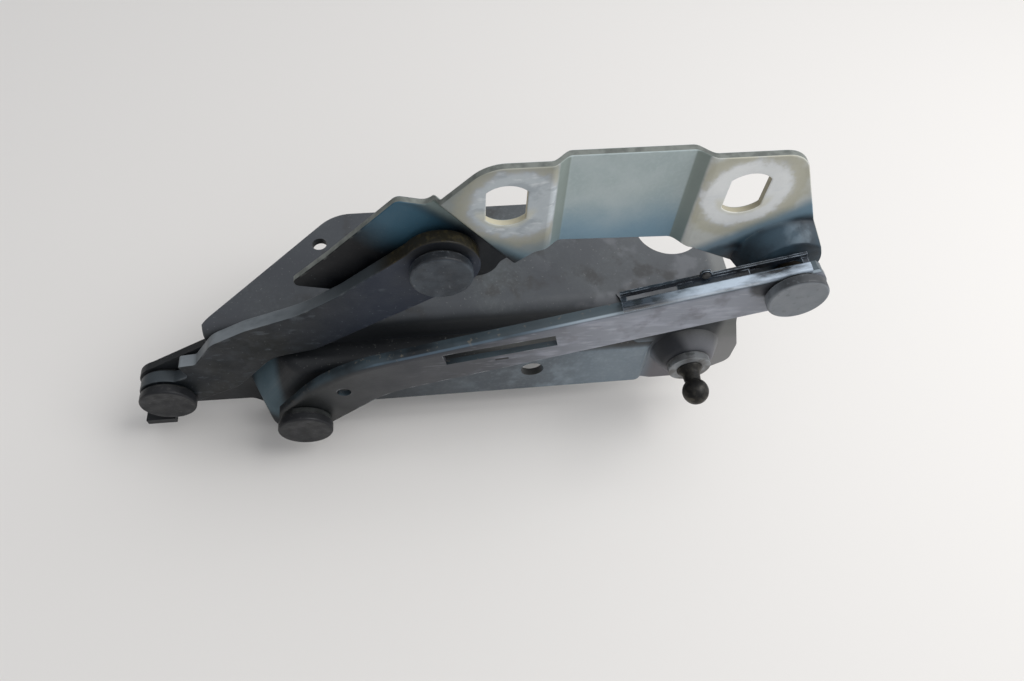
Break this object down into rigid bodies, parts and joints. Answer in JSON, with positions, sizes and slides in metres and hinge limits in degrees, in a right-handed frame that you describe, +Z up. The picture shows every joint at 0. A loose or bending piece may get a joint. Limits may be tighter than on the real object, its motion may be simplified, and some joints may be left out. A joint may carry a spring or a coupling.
{
  "type": "bonnet hinge",
  "caption": "Four-bar bonnet hinge: a stamped base bracket joined by a short and a long pivoting arm to a bonnet bracket, with a ball stud for a gas strut.",
  "frame": {"origin": "midway between the two body bolt holes, on the underside of the base flange", "axes": "+X along the hinge to the front of the car, +Z up out of the flange, the pivots lie along Y with their heads facing -Y"},
  "size_m": [0.246, 0.0835, 0.1335],
  "materials": {
    "base_coat": "satin dark electrocoat, rubbed grey",
    "arm_coat": "satin dark electrocoat with worn edges",
    "web_coat": "satin blue-grey electrocoat, polished by handling",
    "strip_coat": "gloss dark electrocoat",
    "bonnet_coat": "overspray fading from pale grey to blue-black, bare rings at the bolt holes",
    "rivet_dark": "dark coated steel, matt",
    "rivet_grey": "worn coated steel, satin",
    "washer_dark": "oiled dark steel",
    "bush_brass": "dull bearing metal",
    "ball_steel": "greasy bare steel",
    "stud_zinc": "zinc plated steel"
  },
  "bodies": {
    "base": {"base_bracket": "base_coat", "ball_stud": "ball_steel", "stud_washer": "stud_zinc", "pivot_rivet_a": "rivet_dark", "front_washer_a": "washer_dark", "rear_washer_a": "washer_dark", "pivot_rivet_b": "rivet_dark", "front_washer_b": "washer_dark"},
    "short_arm_body": {"short_arm": "arm_coat", "bush_a": "bush_brass"},
    "long_arm_body": {"long_arm": "web_coat", "long_arm_stiffener": "strip_coat", "stiffener_rivet": "rivet_dark", "bush_b": "bush_brass", "bush_d": "bush_brass"},
    "bonnet_body": {"bonnet_bracket": "bonnet_coat", "pivot_rivet_c": "rivet_grey", "front_washer_c": "washer_dark", "rear_washer_c": "washer_dark", "pivot_rivet_d": "rivet_grey", "front_washer_d": "washer_dark"}
  },
  "joints": [
    {"name": "long_arm_pivot", "type": "hinge", "parent": "base", "child": "long_arm_body", "pos_m": [-0.079, -0.052, -0.0345], "axis": [0, -1, 0], "range_deg": [0, 72]},
    {"name": "short_arm_pivot", "type": "hinge", "parent": "base", "child": "short_arm_body", "pos_m": [-0.13, -0.0405, -0.0305], "axis": [0, -1, 0], "range_deg": [0, 81.6]},
    {"name": "bonnet_pivot", "type": "hinge", "parent": "long_arm_body", "child": "bonnet_body", "pos_m": [0.0925, -0.05, 0.031], "axis": [0, -1, 0], "range_deg": [-35.2, 0]}
  ],
  "couplings": [
    {"joint": "short_arm_pivot", "follows": "long_arm_pivot", "ratio": 1.1308},
    {"joint": "bonnet_pivot", "follows": "long_arm_pivot", "ratio": -0.4863}
  ]
}
